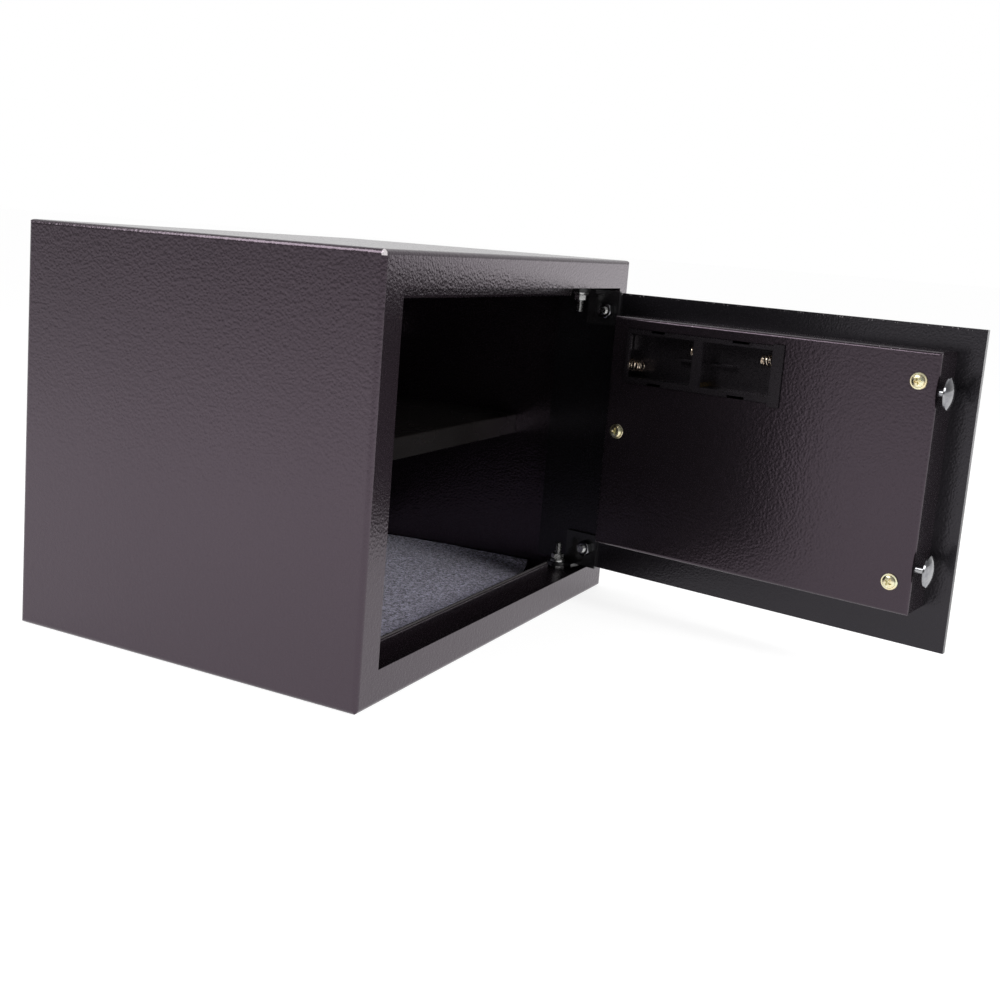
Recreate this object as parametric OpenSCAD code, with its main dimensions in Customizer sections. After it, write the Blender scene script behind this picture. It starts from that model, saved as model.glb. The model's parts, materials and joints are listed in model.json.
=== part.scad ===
// Steel in-room safe with an electronic lock: welded cabinet, side-hung door on two pivot bolts,
// painted cover over the lock works, two mushroom-headed locking bolts.
// Shapes are drawn from the cabinet's front left bottom corner: x to the right, y into the cabinet,
// z up, with the door shut. stand() moves that corner so the origin is the middle of the base.
// on_door() then swings everything that hangs on the door to its rest position.

/* [Cabinet] */
// Width of the cabinet
body_w = 350; // [300:5:450]
// Depth of the cabinet
body_d = 250; // [230:5:400]
// Height of the cabinet
body_h = 250; // [240:5:300]
// Thickness of the side, top, bottom and back sheet
wall = 2; // [1.5:0.5:3]
// Thickness of the front frame sheet
frame_t = 3; // [2:0.5:3]
// Radius of the cabinet's outer edges
edge_r = 3; // [2:0.5:3]

/* [Door opening] */
// Width of the left stile
stile_left = 21; // [19:0.5:23]
// Width of the right stile
stile_right = 16; // [15:0.5:17]
// Height of the bottom rail
rail_bottom = 20.7; // [18:0.1:24]
// Height of the top rail
rail_top = 20.3; // [18:0.1:24]
// Depth of the rebate behind the opening's edge
ledge_d = 16.8; // [15:0.2:18]
// Height of the folded lip at the back of the rebate
lip_h = 7; // [5:0.5:9]
// Thickness of the folded lip
lip_t = 3.6; // [2:0.2:4]

/* [Door] */
// Angle by which the door stands open at rest
door_open = 80.5; // [0:0.5:100]
// Thickness of the door plate
door_t = 4; // [3:0.5:4]
// Gap around the door plate
door_gap = 2.6; // [2.2:0.1:3]
// Distance of the pivot axis from the cabinet's left side
pivot_x = 304.3; // [302:0.1:306]
// Distance of the pivot axis from the cabinet's front face
pivot_y = 18.2; // [17:0.1:19]
// Diameter of the pivot bolts
pivot_d = 5; // [4:0.5:6]

/* [Door cover] */
// Depth of the cover over the lock works
cover_d = 30; // [28:1:34]
// Left edge of the cover
cover_x0 = 39.5; // [38:0.5:42]
// Right edge of the cover
cover_x1 = 265; // [262:1:268]
// Bottom edge of the cover
cover_z0 = 49.8; // [48:0.2:52]
// Top edge of the cover
cover_z1 = 212.3; // [210:0.1:214]
// Thickness of the cover sheet
cover_t = 1.2; // [1:0.1:1.6]

/* [Locking bolts] */
// Travel of the locking bolts
bolt_travel = 14.14; // [13:0.01:15]
// Diameter of the bolt heads
bolt_head_d = 20; // [18:0.5:21]
// Height of the lower bolt above the base
bolt_z0 = 79; // [78:0.5:82]
// Height of the upper bolt above the base
bolt_z1 = 188; // [186:0.5:188]

/* [Interior] */
// Height of the shelf's upper face
shelf_z = 124; // [110:1:140]
// Distance from the front face to the shelf's front edge
shelf_y = 82; // [75:1:120]
// Height of the shelf's front flange
shelf_flange = 15; // [10:1:20]
// Thickness of the felt mat
mat_t = 5; // [3:0.5:6]

/* [Anchoring] */
// Diameter of the anchor holes
anchor_d = 10; // [8:0.5:12]
// Spacing of the floor anchor holes across the cabinet
floor_pitch_x = 220; // [180:5:260]
// Distance of the floor anchor holes from the front face
floor_hole_y = 180; // [175:5:200]
// Spacing of the two back anchor holes
back_pitch_x = 180; // [120:5:240]
// Height of the back anchor holes
back_hole_z = 175; // [150:5:200]

/* [Keypad] */
// Width of a key
key_w = 15; // [12:0.5:16]
// Height of a key
key_h = 11; // [9:0.5:12]
// Distance between key centres across the keypad
key_pitch_x = 19; // [18:0.5:22]
// Distance between key centres up the keypad
key_pitch_z = 15; // [14:0.5:18]
// Travel of a key
key_travel = 1.2; // [0.8:0.1:1.4]

/* [Hidden] */
$fn = 64;

// A small overlap that lets cutting tools break cleanly through a face.
cut = 0.5;
// Gap between parts that move past each other.
clear = 0.3;

// Door opening
open_x0 = stile_left;
open_x1 = body_w - stile_right;
open_z0 = rail_bottom;
open_z1 = body_h - rail_top;
// The lip starts beside the left jamb and stops short of the pivots, where the rebate is flat and deeper.
lip_x0 = open_x0 + 1;
lip_x1 = pivot_x - 20;
tab_d = ledge_d + lip_h + 2;
rebate_t = 2;

// Door plate
door_x0 = open_x0 + door_gap;
door_x1 = open_x1 - door_gap - 0.2;
door_z0 = open_z0 + door_gap;
door_z1 = open_z1 - door_gap;
cover_y1 = door_t + cover_d;
cover_r = 2;

// Pivot stack, counted up from the rebate: washer, gap, bracket tab, gap, washer, nut, free thread
washer_t = 1.2;
washer_d = 11;
bracket_t = 2.5;
nut_h = 4.5;
nut_af = 8;
pivot_gap = 0.3;
pivot_reach = 18.3;
tab_z = washer_t + pivot_gap;
upper_washer_z = tab_z + bracket_t + pivot_gap;
nut_z = upper_washer_z + washer_t;

// Hinge brackets on the back of the door plate
bracket_x0 = 279;
bracket_x1 = 305;
bracket_h = 25;
tab_r = 7.2;
stud_x = 287.8;
stud_z = open_z0 + tab_z + 14.4;
stud_d = 6;

// Lock works behind the door plate
bolt_y = cover_y1 - 5;
bolt_d = 5;
// The upper head is screwed in deeper than the lower one.
head_back_x = [32.6, 34.9];
head_rim = 1.3;
head_h = 3.5;
carriage_x0 = 60;
carriage_x1 = 96;
carriage_y = 24;
carriage_t = 2;
knob_x = 106;
knob_z = (bolt_z0 + bolt_z1) / 2;
shaft_d = 8;
drive_r = bolt_travel / (2 * sin(45));
drive_pin_d = 5;
carriage_z0 = bolt_z0 - 6;
carriage_z1 = bolt_z1 + 2.6;
guide_x = 76;
guide_z = [knob_z - 38, knob_z + 38];
solenoid_x = 76;
solenoid_z = knob_z - 12;
solenoid_h = 14;
plunger_d = 5;

// Screws that hold the door cover
screw_at = [[51.2, 193.9], [52.8, 68.9], [255, 132]];
post_d = 6;

// Battery tray, put in from behind so that its face fills a window in the back of the cover.
// The face has two long rails, a bar between the bays and a wide, taller bar at its left end.
tray_x0 = 137.6;
tray_x1 = 253;
rail_z0 = 167.2;
rail_z1 = 204.6;
bar_z0 = 165.2;
bar_z1 = 205.7;
tray_rim = 1;
tray_depth = 19;
tray_wall = 1.5;
// Each bay holds two round cells side by side. Its room runs on under the bars of the face.
cell_d = 14.5;
bay_z0 = 171;
bay_z1 = 201.6;
bay_mid_z = (bay_z0 + bay_z1) / 2;
bay_window = [[tray_x0 + 7.7, 195.5], [202, 251]];
bay_room = [[142.5, 199], [202, 258]];
cell_rib = [[177.5, 196], [202, 219]];
clip_slot = [[162, 174.2], [224.2, 234.8]];
bay_floor_y = cover_y1 + tray_rim - tray_depth + 2;
// Springs: [bay, side of the middle, end of the room, length]. Two are long, and two short ones stay behind the bars.
SPRINGS = [[0, 1, 0, 13], [0, -1, 0, 4.5], [1, 1, 0, 4.5], [1, -1, 1, 13]];
// Flat contact plates: [bay, side, end]. The far end of the left bay has one strip along its foot instead.
PLATES = [[0, 1, 0], [0, -1, 0], [1, 1, 0], [1, -1, 0], [1, 1, 1], [1, -1, 1]];

// Circuit board behind the keypad, and the hole for its cable
board_low = [148, 74];
board_high = [205, 112];
board_gap = 5;
board_t = 1.6;
board_inset = 5;
cable_at = [150, 152];
cable_d = 14;

// Lock housing on the outside of the door
housing_x0 = 132;
housing_x1 = 252;
housing_z0 = 82;
housing_z1 = 182;
housing_y = 11;
housing_wall = 2;
pad_x = 168;
pad_z = 122;
lamp_at = [for (i = [0:2]) [pad_x + (i - 1) * key_pitch_x, 166]];
lock_x = 224;
lock_z = 132;
barrel_d = 19;
plug_d = 12;
KEY_NAMES = ["key_1", "key_2", "key_3", "key_4", "key_5", "key_6", "key_7", "key_8", "key_9",
    "key_clear", "key_0", "key_enter"];

// Colours
paint = [0.13, 0.11, 0.13];
dark_paint = [0.09, 0.085, 0.1];
zinc = [0.78, 0.68, 0.42];
chrome_grey = [0.8, 0.8, 0.82];
steel_grey = [0.6, 0.6, 0.62];
black_plastic = [0.07, 0.07, 0.07];

// ---- Places -----------------------------------------------------------------------------------

module stand() {
    translate([-body_w / 2, -body_d / 2, 0]) children();
}

module on_door() {
    stand()
        translate([pivot_x, pivot_y, 0])
            rotate([0, 0, door_open])
                translate([-pivot_x, -pivot_y, 0])
                    children();
}

// Points a shape drawn upwards along z so that it runs along +y from the origin.
module along_y() {
    rotate([-90, 0, 0]) children();
}

// ---- Shared shapes ----------------------------------------------------------------------------

// Box between two corners.
module block(low, high) {
    translate(low) cube(high - low);
}

// Rectangle with round corners, between two corners.
module round_rect(low, high, r) {
    size = high - low;
    translate(low)
        union() {
            translate([r, 0]) square([size[0] - 2 * r, size[1]]);
            translate([0, r]) square([size[0], size[1] - 2 * r]);
            for (x = [r, size[0] - r], y = [r, size[1] - r])
                translate([x, y]) circle(r);
        }
}

// Plate with round corners, seen from the front: low and high are [x, z] corners.
module front_plate(low, high, r, y0, y1) {
    translate([0, y1, 0])
        rotate([90, 0, 0])
            linear_extrude(y1 - y0) round_rect(low, high, r);
}

// Full-size end sheet of the cabinet, t thick and rounded towards its outer face at y = 0.
module end_sheet(t) {
    r = edge_r;
    intersection() {
        front_plate([0, 0], [body_w, body_h], r, 0, t);
        translate([0, 0, -cut])
            linear_extrude(body_h + 2 * cut)
                union() {
                    translate([r, 0]) square([body_w - 2 * r, t + cut]);
                    translate([0, r]) square([body_w, t + cut]);
                    for (x = [r, body_w - r]) translate([x, r]) circle(r);
                }
        translate([-cut, 0, 0])
            rotate([90, 0, 90])
                linear_extrude(body_w + 2 * cut)
                    union() {
                        translate([0, r]) square([t + cut, body_h - 2 * r]);
                        translate([r, 0]) square([t + cut, body_h]);
                        for (z = [r, body_h - r]) translate([r, z]) circle(r);
                    }
    }
}

// Hexagonal prism across flats af, with a hole through it.
module hex_nut(af, h, hole) {
    difference() {
        cylinder(d = af / cos(30), h = h, $fn = 6);
        translate([0, 0, -cut]) cylinder(d = hole, h = h + 2 * cut);
    }
}

module ring(outer, inner, h) {
    difference() {
        cylinder(d = outer, h = h);
        translate([0, 0, -cut]) cylinder(d = inner, h = h + 2 * cut);
    }
}

// Runs its children at the lower pivot, and upside down at the upper one, from the rebate's face.
module at_pivots() {
    translate([pivot_x, pivot_y, open_z0]) children();
    translate([pivot_x, pivot_y, open_z1]) mirror([0, 0, 1]) children();
}

// ---- Cabinet ----------------------------------------------------------------------------------

module cabinet_shell() {
    color(paint) stand()
        difference() {
            front_plate([0, 0], [body_w, body_h], edge_r, frame_t, body_d - frame_t);
            block([wall, 0, wall], [body_w - wall, body_d, body_h - wall]);
            for (x = [-1, 1])
                translate([body_w / 2 + x * floor_pitch_x / 2, floor_hole_y, -cut])
                    cylinder(d = anchor_d, h = wall + 2 * cut);
        }
}

// Sheet with the door opening, folded back into a rebate with a lip along the top and bottom.
module front_frame() {
    color(paint) stand()
        union() {
            difference() {
                end_sheet(frame_t);
                block([open_x0, -cut, open_z0], [open_x1, frame_t + cut, open_z1]);
            }
            block([open_x0 - rebate_t, frame_t, open_z0 - rebate_t], [open_x0, ledge_d, open_z1 + rebate_t]);
            rebate();
            translate([0, 0, open_z0 + open_z1]) mirror([0, 0, 1]) rebate();
        }
}

// Bottom rebate: ledge, rolled lip and the deeper flat tab under the pivot.
module rebate() {
    difference() {
        union() {
            block([open_x0, frame_t, open_z0 - rebate_t], [body_w - wall, ledge_d, open_z0]);
            translate([lip_x0, ledge_d, open_z0])
                rotate([90, 0, 90]) linear_extrude(lip_x1 - lip_x0) lip_profile();
            block([lip_x1 + 2, ledge_d, open_z0 - rebate_t], [body_w - wall, tab_d, open_z0]);
        }
        translate([pivot_x, pivot_y, open_z0 - rebate_t - cut])
            cylinder(d = pivot_d + 0.1, h = rebate_t + 2 * cut);
    }
}

// Section of the lip, from its foot under the ledge to its rolled top edge.
module lip_profile() {
    r = lip_t / 2;
    union() {
        translate([0, -rebate_t]) square([lip_t, rebate_t + lip_h - r]);
        translate([r, lip_h - r]) circle(r);
    }
}

module back_panel() {
    color(paint) stand()
        difference() {
            translate([0, body_d, 0]) mirror([0, 1, 0]) end_sheet(frame_t);
            for (x = [-1, 1])
                translate([body_w / 2 + x * back_pitch_x / 2, body_d - frame_t - cut, back_hole_z])
                    along_y() cylinder(d = anchor_d, h = frame_t + 2 * cut);
        }
}

module shelf() {
    t = 1.2;
    x0 = wall + 0.4;
    x1 = body_w - wall - 0.4;
    y1 = body_d - frame_t - 0.4;
    color(dark_paint) stand()
        union() {
            block([x0, shelf_y + t, shelf_z - t], [x1, y1, shelf_z]);
            block([x0, shelf_y, shelf_z - shelf_flange], [x1, shelf_y + t, shelf_z - t]);
            translate([x0, shelf_y + t, shelf_z - t])
                intersection() {
                    rotate([0, 90, 0]) cylinder(r = t, h = x1 - x0);
                    block([0, -t, 0], [x1 - x0, 0, t]);
                }
            block([x0, y1 - t, shelf_z - shelf_flange], [x1, y1, shelf_z - t]);
        }
}

module shelf_supports() {
    leg = 12;
    t = 1.5;
    z1 = shelf_z - 1.2;
    color(dark_paint) stand()
        for (side = [0, 1])
            translate([side * body_w, 0, 0]) mirror([side, 0, 0])
                union() {
                    block([wall, shelf_y + 6, z1 - leg], [wall + t, body_d - 20, z1]);
                    block([wall + t, shelf_y + 6, z1 - t], [wall + leg, body_d - 20, z1]);
                }
}

// Felt mat on the floor, with openings over the floor anchor holes.
module floor_mat() {
    gap = 2;
    color([0.3, 0.34, 0.4]) stand()
        difference() {
            block([wall + gap, frame_t + gap, wall], [body_w - wall - gap, body_d - frame_t - gap, wall + mat_t]);
            for (x = [-1, 1])
                translate([body_w / 2 + x * floor_pitch_x / 2, floor_hole_y, 0])
                    cylinder(d = anchor_d + 6, h = 3 * mat_t);
        }
}

module pivot_bolts() {
    color(steel_grey) stand()
        at_pivots()
            union() {
                translate([0, 0, -rebate_t - 3.5]) cylinder(d = 9, h = 3.5);
                translate([0, 0, -rebate_t - cut]) cylinder(d = pivot_d, h = pivot_reach + rebate_t + cut);
            }
}

module pivot_washers() {
    color(steel_grey) stand()
        at_pivots() {
            ring(washer_d, pivot_d + 0.1, washer_t);
            translate([0, 0, upper_washer_z]) ring(washer_d, pivot_d + 0.1, washer_t);
        }
}

module pivot_nuts() {
    color(steel_grey) stand()
        at_pivots()
            translate([0, 0, nut_z]) hex_nut(nut_af, nut_h, pivot_d);
}

// ---- Door -------------------------------------------------------------------------------------

module door_plate() {
    color(dark_paint) on_door()
        difference() {
            block([door_x0, 0, door_z0], [door_x1, door_t, door_z1]);
            translate([knob_x, -cut, knob_z]) along_y() cylinder(d = shaft_d + 0.16, h = door_t + 2 * cut);
            translate([lock_x, -cut, lock_z]) along_y() cylinder(d = barrel_d + 0.6, h = door_t + 2 * cut);
            translate([cable_at[0], -cut, cable_at[1]]) along_y() cylinder(d = cable_d, h = door_t + 2 * cut);
        }
}

// Painted pan over the lock works, open towards the door plate.
module door_cover() {
    color(paint) on_door()
        difference() {
            union() {
                front_plate([cover_x0, cover_z0], [cover_x1, cover_z1], cover_r, door_t, cover_y1 - cover_r);
                cover_back();
            }
            block([cover_x0 + cover_t, door_t - cut, cover_z0 + cover_t],
                [cover_x1 - cover_t, cover_y1 - cover_t, cover_z1 - cover_t]);
            tray_face(clear, cover_y1 - 2 * cover_t, cover_y1 + cut);
            for (z = [bolt_z0, bolt_z1])
                translate([cover_x0 - cut, bolt_y, z])
                    rotate([0, 90, 0]) cylinder(d = bolt_d + 2 * clear, h = cover_t + 2 * cut);
            for (at = screw_at)
                translate([at[0], cover_y1 - cover_t - cut, at[1]])
                    along_y() cylinder(d = 4.4, h = cover_t + 2 * cut);
        }
}

// Back of the cover, with its bends rounded along all four sides.
module cover_back() {
    r = cover_r;
    y0 = cover_y1 - r - cut;
    intersection() {
        block([cover_x0, y0, cover_z0], [cover_x1, cover_y1, cover_z1]);
        translate([0, 0, cover_z0 - cut])
            linear_extrude(cover_z1 - cover_z0 + 2 * cut)
                round_rect([cover_x0, y0 - 4 * r], [cover_x1, cover_y1], r);
        translate([cover_x0 - cut, 0, 0])
            rotate([90, 0, 90])
                linear_extrude(cover_x1 - cover_x0 + 2 * cut)
                    round_rect([y0 - 4 * r, cover_z0], [cover_y1, cover_z1], r);
    }
}

module cover_posts() {
    color(steel_grey) on_door()
        for (at = screw_at)
            translate([at[0], door_t, at[1]])
                along_y()
                    difference() {
                        cylinder(d = post_d, h = cover_d - cover_t);
                        translate([0, 0, cover_d - cover_t - 12]) cylinder(d = 4, h = 12 + cut);
                    }
}

// Pan-head screws with a washer face and a cross recess.
module cover_screws() {
    color(zinc) on_door()
        for (at = screw_at)
            translate([at[0], cover_y1, at[1]])
                along_y()
                    difference() {
                        union() {
                            translate([0, 0, -10]) cylinder(d = 4, h = 10);
                            cylinder(d = 10.5, h = 0.9);
                            translate([0, 0, 0.9]) cylinder(d1 = 8.4, d2 = 7.4, h = 1.2);
                            translate([0, 0, 2.1]) cylinder(d1 = 7.4, d2 = 5.2, h = 0.6);
                        }
                        for (a = [0, 90])
                            rotate([0, 0, a + 20])
                                translate([-2.1, -0.5, 1.1]) cube([4.2, 1, 2]);
                    }
}

// Bracket seen at the lower pivot: a flange on the door plate, and a tab folded out around the pivot.
module hinge_bracket() {
    z0 = open_z0 + tab_z;
    difference() {
        union() {
            block([bracket_x0, door_t, z0], [bracket_x1, door_t + bracket_t, z0 + bracket_h]);
            block([pivot_x - tab_r - 5, door_t, z0], [pivot_x + tab_r, pivot_y, z0 + bracket_t]);
            translate([pivot_x, pivot_y, z0]) cylinder(r = tab_r, h = bracket_t);
        }
        translate([pivot_x, pivot_y, z0 - cut]) cylinder(d = pivot_d + 0.16, h = bracket_t + 2 * cut);
        translate([stud_x, door_t - cut, stud_z])
            along_y() cylinder(d = stud_d + 0.4, h = bracket_t + 2 * cut);
    }
}

module hinge_bracket_lower() {
    color(dark_paint) on_door() hinge_bracket();
}

module hinge_bracket_upper() {
    color(dark_paint) on_door()
        translate([0, 0, open_z0 + open_z1]) mirror([0, 0, 1]) hinge_bracket();
}

// Runs its children at each stud, drawn along +y from the door plate's back face.
module at_studs() {
    for (z = [stud_z, open_z0 + open_z1 - stud_z])
        translate([stud_x, door_t, z]) along_y() children();
}

module bracket_studs() {
    color(steel_grey) on_door()
        at_studs() cylinder(d = stud_d, h = 10);
}

module bracket_nuts() {
    color(chrome_grey) on_door()
        at_studs() translate([0, 0, bracket_t]) hex_nut(10, 5, stud_d);
}

// Outline of the tray's face, g larger all round, from y0 to y1.
module tray_face(g, y0, y1) {
    block([tray_x0 - g, y0, rail_z0 - g], [tray_x1 + g, y1, rail_z1 + g]);
    block([tray_x0 - g, y0, bar_z0 - g], [bay_window[0][0] + g, y1, bar_z1 + g]);
}

// Moulded tray for four round cells, in two bays.
module battery_tray() {
    floor_y = bay_floor_y - 2;
    face_y = cover_y1 - cover_t - clear;
    color(black_plastic) on_door()
        difference() {
            union() {
                tray_face(0, face_y, cover_y1 + tray_rim);
                block([tray_x0, cover_y1, bar_z0], [bay_window[0][0], cover_y1 + tray_rim + 0.6, bar_z1]);
                block([bay_room[0][0] - tray_wall, floor_y, bay_z0 - tray_wall],
                    [bay_room[1][1] + tray_wall, face_y, bay_z1 + tray_wall]);
            }
            for (i = [0, 1]) {
                difference() {
                    block([bay_room[i][0], bay_floor_y, bay_z0], [bay_room[i][1], face_y, bay_z1]);
                    // Low rib between the two cells
                    block([cell_rib[i][0], floor_y, bay_mid_z - 0.6],
                        [cell_rib[i][1], bay_floor_y + 5, bay_mid_z + 0.6]);
                }
                block([bay_window[i][0], face_y - 1, bay_z0], [bay_window[i][1], cover_y1 + 2, bay_z1]);
                // Slots in the rails for the clips of a battery lid
                for (z = [rail_z0 - cut, rail_z1 - 1.6])
                    block([clip_slot[i][0], face_y - cut, z], [clip_slot[i][1], cover_y1 + 2, z + 1.6 + cut]);
            }
        }
}

// Runs its children at the middle of a cell's end, turned so that +x points into the bay.
// at is [bay, side of the middle, end of the room].
module at_cell_end(at) {
    x = bay_room[at[0]][at[2]];
    translate([x, bay_floor_y + cell_d / 2, bay_mid_z + at[1] * (cell_d / 2 + 0.3)])
        rotate([0, 0, at[2] * 180]) children();
}

module battery_plates() {
    strip_x = bay_room[0][1];
    color(chrome_grey) on_door()
        union() {
            for (at = PLATES)
                at_cell_end(at) block([0, -5.5, -5], [0.5, 5.5, 5]);
            block([strip_x - 0.8, bay_floor_y, bay_z0], [strip_x, bay_floor_y + 12, bay_z0 + 2.4]);
        }
}

// Tapered contact springs, drawn as their closed outer shape.
module battery_springs() {
    color([0.75, 0.55, 0.4]) on_door()
        for (at = SPRINGS)
            at_cell_end(at)
                translate([0.5, 0, 0]) rotate([0, 90, 0]) cylinder(d1 = 9, d2 = 6, h = at[3]);
}

// Shouldered posts that the carriage's long slots run on.
module guide_posts() {
    color(steel_grey) on_door()
        for (z = guide_z)
            translate([guide_x, door_t, z])
                along_y()
                    union() {
                        cylinder(d = 9, h = carriage_y - door_t - clear);
                        cylinder(d = 5, h = carriage_y - door_t + carriage_t + 2.5);
                    }
}

module guide_washers() {
    color(steel_grey) on_door()
        for (z = guide_z)
            translate([guide_x, carriage_y + carriage_t + clear, z])
                along_y() ring(12, 5, 1);
}

module circuit_board() {
    y0 = door_t + board_gap;
    color([0.05, 0.3, 0.14]) on_door()
        difference() {
            block([board_low[0], y0, board_low[1]], [board_high[0], y0 + board_t, board_high[1]]);
            for (at = board_holes())
                translate([at[0], y0 - cut, at[1]]) along_y() cylinder(d = 3.2, h = board_t + 2 * cut);
        }
}

function board_holes() = [
    for (x = [board_low[0] + board_inset, board_high[0] - board_inset],
        z = [board_low[1] + board_inset, board_high[1] - board_inset]) [x, z]
];

module board_spacers() {
    color(steel_grey) on_door()
        for (at = board_holes())
            translate([at[0], door_t, at[1]])
                along_y()
                    union() {
                        cylinder(d = 6, h = board_gap);
                        cylinder(d = 3, h = board_gap + board_t + 1.4);
                    }
}

// Bridge-shaped frame of the solenoid on the door plate, with a hole for the plunger.
module solenoid_frame() {
    w = 17;
    h = 19;
    t = 1.5;
    color(steel_grey) on_door()
        translate([solenoid_x - w / 2, door_t, solenoid_z - h / 2])
            difference() {
                cube([w, solenoid_h + 2 * t, h]);
                translate([-cut, t, t]) cube([w + 2 * cut, solenoid_h, h - 2 * t]);
                translate([w / 2, t + solenoid_h - cut, h / 2])
                    along_y() cylinder(d = plunger_d + 2 * clear, h = t + 2 * cut);
            }
}

module solenoid_coil() {
    color([0.15, 0.13, 0.3]) on_door()
        translate([solenoid_x, door_t + 1.5, solenoid_z])
            along_y() ring(15.5, plunger_d + 2 * clear, solenoid_h);
}

// Plastic housing on the outside of the door: twelve key windows, three lamps and the key lock.
module lock_housing() {
    color(black_plastic) on_door()
        difference() {
            union() {
                front_plate([housing_x0 + 1.5, housing_z0 + 1.5], [housing_x1 - 1.5, housing_z1 - 1.5], 8,
                    -housing_y, 1.5 - housing_y);
                front_plate([housing_x0, housing_z0], [housing_x1, housing_z1], 9.5, 1.5 - housing_y, 0);
            }
            front_plate([housing_x0 + housing_wall, housing_z0 + housing_wall],
                [housing_x1 - housing_wall, housing_z1 - housing_wall], 7.5, housing_wall - housing_y, cut);
            for (i = [0:11])
                front_plate(key_at(i) - [key_w / 2 + clear, key_h / 2 + clear],
                    key_at(i) + [key_w / 2 + clear, key_h / 2 + clear], 2.3, -housing_y - cut, 3 - housing_y);
            for (at = lamp_at)
                translate([at[0], -housing_y - cut, at[1]]) along_y() cylinder(d = 5.1, h = 4);
            translate([lock_x, -housing_y - cut, lock_z]) along_y() cylinder(d = barrel_d + 0.6, h = 4);
        }
}

// Key centres, counted from the top left in rows of three.
function key_at(i) = [pad_x + (i % 3 - 1) * key_pitch_x, pad_z + (1.5 - floor(i / 3)) * key_pitch_z];

// Key cap with a wider foot behind the housing's face.
module key_cap(i) {
    face = -housing_y - key_travel - 0.6;
    foot = -housing_y + housing_wall + clear;
    half = [key_w / 2, key_h / 2];
    color([0.62, 0.63, 0.64]) on_door()
        union() {
            front_plate(key_at(i) - half, key_at(i) + half, 2, face + 0.6, foot);
            front_plate(key_at(i) - half + [0.6, 0.6], key_at(i) + half - [0.6, 0.6], 1.6, face, face + 0.6);
            front_plate(key_at(i) - half - [1, 1], key_at(i) + half + [1, 1], 2, foot, foot + 1);
            translate([key_at(i)[0], foot + 1, key_at(i)[1]]) along_y() cylinder(d = 4, h = 3);
        }
}

module lamp_lenses() {
    color([0.7, 0.15, 0.12]) on_door()
        for (at = lamp_at)
            translate([at[0], -housing_y - 0.8, at[1]])
                along_y()
                    union() {
                        cylinder(d1 = 3.6, d2 = 5, h = 0.8);
                        translate([0, 0, 0.8]) cylinder(d = 5, h = 4);
                    }
}

module key_barrel() {
    color(chrome_grey) on_door()
        translate([lock_x, -housing_y - 2, lock_z])
            along_y()
                difference() {
                    union() {
                        cylinder(d1 = barrel_d + 1, d2 = barrel_d + 3, h = 2);
                        cylinder(d = barrel_d, h = housing_y + door_t + 8);
                    }
                    translate([0, 0, -cut]) cylinder(d = plug_d + 0.16, h = 40);
                }
}

// ---- Moving parts on the door -----------------------------------------------------------------

// Plate that carries both bolts, with slots for the guide posts, the drive pin and the solenoid's plunger.
module bolt_carriage() {
    y0 = carriage_y;
    y1 = carriage_y + carriage_t;
    reach = carriage_x1 + 22;
    color(steel_grey) on_door()
        difference() {
            union() {
                block([carriage_x0, y0, carriage_z0], [carriage_x1, y1, carriage_z1]);
                block([carriage_x1, y0, knob_z - 18], [reach, y1, knob_z + 18]);
                block([carriage_x0, y1, carriage_z0], [carriage_x0 + 2, y1 + 5.5, carriage_z1]);
            }
            for (z = guide_z)
                guide_slot(guide_x, guide_x + bolt_travel, z, 5 + 2 * clear);
            drive_slot();
            guide_slot(solenoid_x, solenoid_x + bolt_travel, solenoid_z, plunger_d + 2 * clear);
        }
}

// Slot along x with round ends, through the carriage.
module guide_slot(x0, x1, z, w) {
    translate([0, carriage_y - cut, 0]) {
        for (x = [x0, x1])
            translate([x, 0, z]) along_y() cylinder(d = w, h = carriage_t + 2 * cut);
        block([x0, 0, z - w / 2], [x1, carriage_t + 2 * cut, z + w / 2]);
    }
}

// Upright slot for the drive pin, as wide as the pin and its play.
module drive_slot() {
    w = drive_pin_d + 1.2;
    x = knob_x + drive_r * sin(45);
    translate([0, carriage_y - cut, 0])
        block([x - w / 2, 0, knob_z + drive_r * cos(45) - w / 2],
            [x + w / 2, carriage_t + 2 * cut, knob_z + drive_r + w / 2]);
}

module locking_bolts() {
    color(chrome_grey) on_door()
        for (i = [0, 1])
            translate([head_back_x[i], bolt_y, [bolt_z0, bolt_z1][i]])
                union() {
                    rotate([0, 90, 0]) cylinder(d = bolt_d, h = carriage_x0 - head_back_x[i]);
                    rotate([0, -90, 0]) bolt_head();
                }
}

// Domed head, its flat back at z = 0.
module bolt_head() {
    rise = head_h - head_rim;
    r = bolt_head_d / 2;
    dome_r = (r * r + rise * rise) / (2 * rise);
    union() {
        cylinder(r = r, h = head_rim);
        intersection() {
            translate([0, 0, head_h - dome_r]) sphere(dome_r, $fn = 96);
            translate([0, 0, head_rim / 2]) cylinder(r = r, h = head_h);
        }
    }
}

// Round knob with finger flutes round its grip and a wider foot.
module knob() {
    grip_r = 17;
    grip_h = 18.5;
    flutes = 18;
    color([0.55, 0.56, 0.57]) on_door()
        translate([knob_x, -26, knob_z])
            along_y()
                difference() {
                    union() {
                        cylinder(r1 = grip_r - 1.5, r2 = grip_r, h = 1.5);
                        translate([0, 0, 1.5]) cylinder(r = grip_r, h = grip_h - 1.5);
                        translate([0, 0, grip_h]) cylinder(r1 = grip_r, r2 = 20, h = 3);
                        translate([0, 0, grip_h + 3]) cylinder(r = 20, h = 3.5);
                    }
                    for (i = [0:flutes - 1])
                        rotate([0, 0, i * 360 / flutes])
                            translate([grip_r + 1.2, 0, 3]) cylinder(d = 4, h = grip_h - 4.5);
                    translate([0, 0, 10]) cylinder(d = shaft_d, h = 20);
                }
}

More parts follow.
